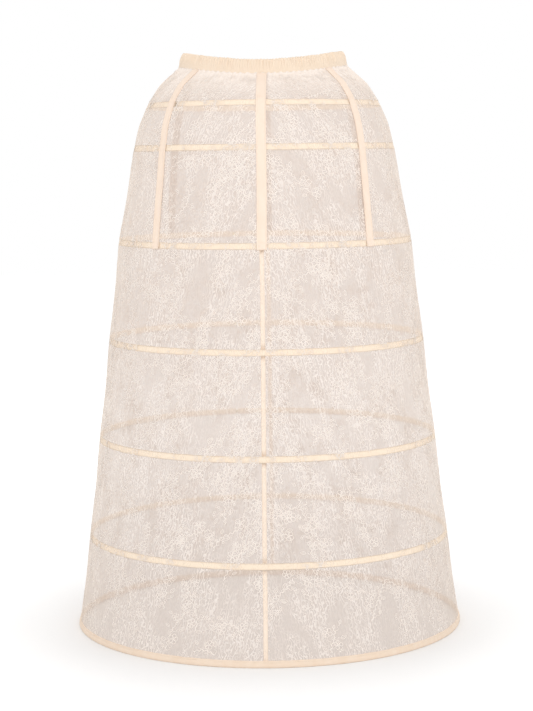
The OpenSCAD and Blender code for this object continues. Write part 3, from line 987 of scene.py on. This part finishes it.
def seam_tape(node, angle, stitches):
    """A narrow tape behind a seam of the lace, down over the inside of the casings to the hem."""
    s = np.linspace(SEAM_TAPE_FOOT, HOOP_S["hip"] + SEAM_TAPE_PAST_HIP, SEAM_TAPE_STEPS)
    over = 1 - smooth(CASING_BLEND_FROM, CASING_BLEND_TO, from_casing(s) - CASING_HALF)
    by_hem = SEAM_TAPE_AT_HEM * (1 - smooth(HEM_BLEND_FROM, HEM_BLEND_TO, s))
    depth = SEAM_TAPE_BEHIND - lace_sag(angle, s) + by_hem
    behind_casing = LACE_CLOTH + CASING_DEPTH + SEAM_TAPE_CLEAR
    out = -(depth + over * (behind_casing - depth) + SEAM_TAPE_CLOTH)
    piece = tape_strip(node + "_cotton", angle, s, out, SEAM_TAPE_WIDTH, SEAM_TAPE_CLOTH, seam_cotton,
                       node)
    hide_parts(node)
    tape_stitches(stitches, angle, s, out + SEAM_TAPE_CLOTH, SEAM_TAPE_WIDTH, SEAM_STITCH_INSET)


# Waistband

def waistband():
    """Cotton drawn up in fine gathers over the elastic, smooth at its foot, where it meets the lace."""
    top_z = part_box("waistband")[1][2] - BAND_TOP_CLEAR
    waist_z = float(along(WAIST_S, side_rows[:, 0]))
    rx, ry = float(along(WAIST_S, side_rows[:, 1])), float(along(WAIST_S, front_rows[:, 1]))
    slope = math.atan2(rx - float(side_rows[-1, 1]), float(side_rows[-1, 0]) - waist_z)
    height = (top_z - waist_z) / math.cos(slope)
    front_dip = waist_z - float(front_rows[-2, 0])
    back_dip = waist_z - float(back_rows[-2, 0])
    # Outline: share of the band's half thickness, and share of its height
    outer = ((0.30, 0.0), (0.50, 0.03), (0.66, 0.09), (0.60, 0.15), (0.95, 0.24), (1.12, 0.38), (1.2, 0.52),
             (1.18, 0.66), (1.05, 0.80), (0.8, 0.92), (0.45, 0.985), (0.0, 1.0))
    inner = [(-n, u) for n, u in reversed(outer[:-1])]
    shape = np.array([*outer, *inner])
    thick, level = shape[None, :, 0], shape[None, :, 1]
    a = np.linspace(0, 2 * math.pi, GATHERS * GATHER_STEPS, endpoint=False)
    spacing = (GATHERS * a + wobble(a, 3, (9, 23, 41, 58), GATHER_DRIFT))[:, None]
    slant = wobble(a, 8, (19, 37, 53, 71), GATHER_SLANT)[:, None] * (level - SLANT_LEVEL)
    phase = spacing + slant
    crest = np.abs(np.cos(phase / 2))
    strength = 1.0 + wobble(a, 4, (13, 31, 47), GATHER_VARIES)[:, None]
    rim = 1 - RIM_LOSS * smooth(RIM_FROM, RIM_TO, level)
    fullness = smooth(GATHERS_FROM, GATHERS_FULL, level) * rim
    out = thick * BAND_HALF + np.sign(thick) * GATHER_DEPTH * strength * crest * fullness
    uneven = GATHER_RISE * np.cos(phase) + wobble(a, 6, (5, 8, 17, 29), BAND_UNEVEN)[:, None]
    up = level * height + uneven * (level > UNEVEN_FROM)
    rxu = rx - BAND_INSET - up * math.sin(slope)
    ryu = ry - BAND_INSET - up * math.sin(slope)
    n, c = np.sin(a)[:, None], np.cos(a)[:, None]
    nx, ny = n / rxu, -c / ryu
    size = np.hypot(nx, ny)
    dip = np.where(c > 0, front_dip, back_dip) * c * c
    points = np.stack([rxu * n + out * math.cos(slope) * nx / size,
                       -ryu * c + out * math.cos(slope) * ny / size,
                       waist_z - dip + up * math.cos(slope) + out * math.sin(slope)], axis=-1)
    lengths = path_lengths(shape * [BAND_HALF, height])
    uv = np.stack(np.broadcast_arrays(BAND_FULLNESS * a[:, None] * rx, lengths[None]), axis=-1)
    faces = grid_faces(len(a), len(shape), closed_rows=True)
    piece = add_mesh("waistband_gathers", points.reshape(-1, 3), faces, band_cotton,
                     uv.reshape(-1, 2))
    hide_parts("waistband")


# Build the pieces

sprigs = {
    "left": [sprig_panel("sprigs_left_low", -1, 11, SPRIG_FOOT, SPRIG_SPLIT),
             sprig_panel("sprigs_left_high", -1, 12, SPRIG_SPLIT, SPRIG_TOP)],
    "right": [sprig_panel("sprigs_right_low", 1, 13, SPRIG_FOOT, SPRIG_SPLIT),
              sprig_panel("sprigs_right_high", 1, 14, SPRIG_SPLIT, SPRIG_TOP)],
}
for word, sign in (("left", -1), ("right", 1)):
    half = lace_half("lace_" + word, sign)

casing_stitches = Stitches()
for name in CASED:
    casing(name, casing_stitches)
hem_binding(casing_stitches)
casing_stitches.piece("casing_stitches", "casing_tape")

# Wide tapes: node, the middle that it is measured from, and the way it lies from there
UPRIGHTS = (
    ("front_tape", 0.0, 0),
    ("right_front_tape", 0.0, 1),
    ("right_back_tape", math.pi, -1),
    ("back_tape", math.pi, 0),
    ("left_back_tape", math.pi, 1),
    ("left_front_tape", 0.0, -1),
)
tape_rows = Stitches()
for node, start, turn in UPRIGHTS:
    upright_tape(node, start, turn, tape_rows)
for node, angle in (("front_seam_tape", 0.0), ("back_seam_tape", math.pi)):
    seam_tape(node, angle, tape_rows)
tape_rows.piece("tape_stitches", "upright_tape")
waistband()

for node, part in frame["nodes"].items():
    finish = None
    if node.endswith("_hoop"):
        finish = hoop_metal
    elif node.endswith("_joiner"):
        finish = sleeve_metal
    elif node == "waist_elastic":
        finish = elastic_web
    if finish:
        part.data.materials.clear()
        part.data.materials.append(finish)


# Stage, light and camera

def floor():
    """A wide pale floor that glows to read as white and keeps the shadow; it glows least under and near the
    cage, a painted shade there.
    """
    half = FLOOR_HALF
    mesh = bpy.data.meshes.new("floor")
    corners = [(-half, -half, 0), (half, -half, 0), (half, half, 0), (-half, half, 0)]
    mesh.from_pydata(corners, [], [(0, 1, 2, 3)])
    plane = bpy.data.objects.new("floor", mesh)
    bpy.context.scene.collection.objects.link(plane)
    n = Nodes("pale_floor")
    n.shader.inputs["Base Color"].default_value = (*FLOOR_GREY, 1)
    n.shader.inputs["Roughness"].default_value = FLOOR_ROUGHNESS
    seen = n.node("ShaderNodeLightPath")
    direct = n.math("MAXIMUM", seen.outputs["Is Camera Ray"], seen.outputs["Is Glossy Ray"])
    away = n.node("ShaderNodeVectorMath", operation="LENGTH")
    n.link(n.node("ShaderNodeTexCoord").outputs["Object"], away.inputs[0])
    hem_r = float(radius(0.0))
    # Least glow under and near the cage: painted shade on the floor there
    glows = [n.range(away.outputs["Value"], near * hem_r, far * hem_r, dim, bright)
             for near, far, dim, bright in FLOOR_GLOWS]
    level = n.math("ADD", *glows)
    shine = n.math("MULTIPLY", n.math("MAXIMUM", direct, seen.outputs["Is Transmission Ray"]), level)
    n.shader.inputs["Emission Color"].default_value = (1, 1, 1, 1)
    n.link(shine, n.shader.inputs["Emission Strength"])
    mesh.materials.append(n.material)


def world():
    """White where it is seen, and a soft even light elsewhere."""
    sky = bpy.data.worlds.new("studio")
    sky.use_nodes = True
    tree = sky.node_tree
    background = tree.nodes["Background"]
    seen = tree.nodes.new("ShaderNodeLightPath")
    most = tree.nodes.new("ShaderNodeMath")
    most.operation = "MAXIMUM"
    tree.links.new(seen.outputs["Is Camera Ray"], most.inputs[0])
    tree.links.new(seen.outputs["Is Transmission Ray"], most.inputs[1])
    level = tree.nodes.new("ShaderNodeMapRange")
    tree.links.new(most.outputs[0], level.inputs["Value"])
    level.inputs["To Min"].default_value = AMBIENT
    level.inputs["To Max"].default_value = 1.0
    background.inputs["Color"].default_value = (1, 1, 1, 1)
    tree.links.new(level.outputs[0], background.inputs["Strength"])
    bpy.context.scene.world = sky


def softbox(name, place, size, power):
    """A large soft lamp, aimed at the middle of the cage."""
    lamp = bpy.data.lights.new(name, "AREA")
    lamp.shape = "RECTANGLE"
    lamp.size, lamp.size_y = size
    lamp.energy = power
    made = bpy.data.objects.new(name, lamp)
    made.location = place
    made.rotation_euler = (Vector(AIM) - Vector(place)).to_track_quat("-Z", "Y").to_euler()
    bpy.context.scene.collection.objects.link(made)


def glow(name, height, power):
    """A soft lamp inside the cage, for the light that the sheer cloth scatters inwards."""
    lamp = bpy.data.lights.new(name, "POINT")
    lamp.shadow_soft_size = GLOW_SIZE
    lamp.energy = power
    made = bpy.data.objects.new(name, lamp)
    made.location = (0, 0, height)
    made.visible_camera = False
    bpy.context.scene.collection.objects.link(made)


def camera():
    """The photograph's view."""
    lens = bpy.data.cameras.new("camera")
    lens.lens = CAMERA_LENS
    lens.sensor_width = SENSOR_WIDTH
    made = bpy.data.objects.new("camera", lens)
    place = Vector((math.sin(CAMERA_AZIMUTH), -math.cos(CAMERA_AZIMUTH), 0)) * CAMERA_DISTANCE
    place.z = CAMERA_HEIGHT
    turn = (Matrix.Rotation(CAMERA_AZIMUTH, 4, "Z") @ Matrix.Rotation(math.pi / 2 - CAMERA_PITCH, 4, "X")
            @ Matrix.Rotation(CAMERA_ROLL, 4, "Z"))
    made.matrix_world = Matrix.Translation(place) @ turn
    bpy.context.scene.collection.objects.link(made)
    bpy.context.scene.camera = made


floor()
world()
for name, place, size, power in SOFTBOXES:
    softbox(name, place, size, power)
for name, share, power in GLOWS:
    glow(name, share * float(cad_box[1][2]), power)
camera()
bpy.context.scene.view_settings.view_transform = "Standard"
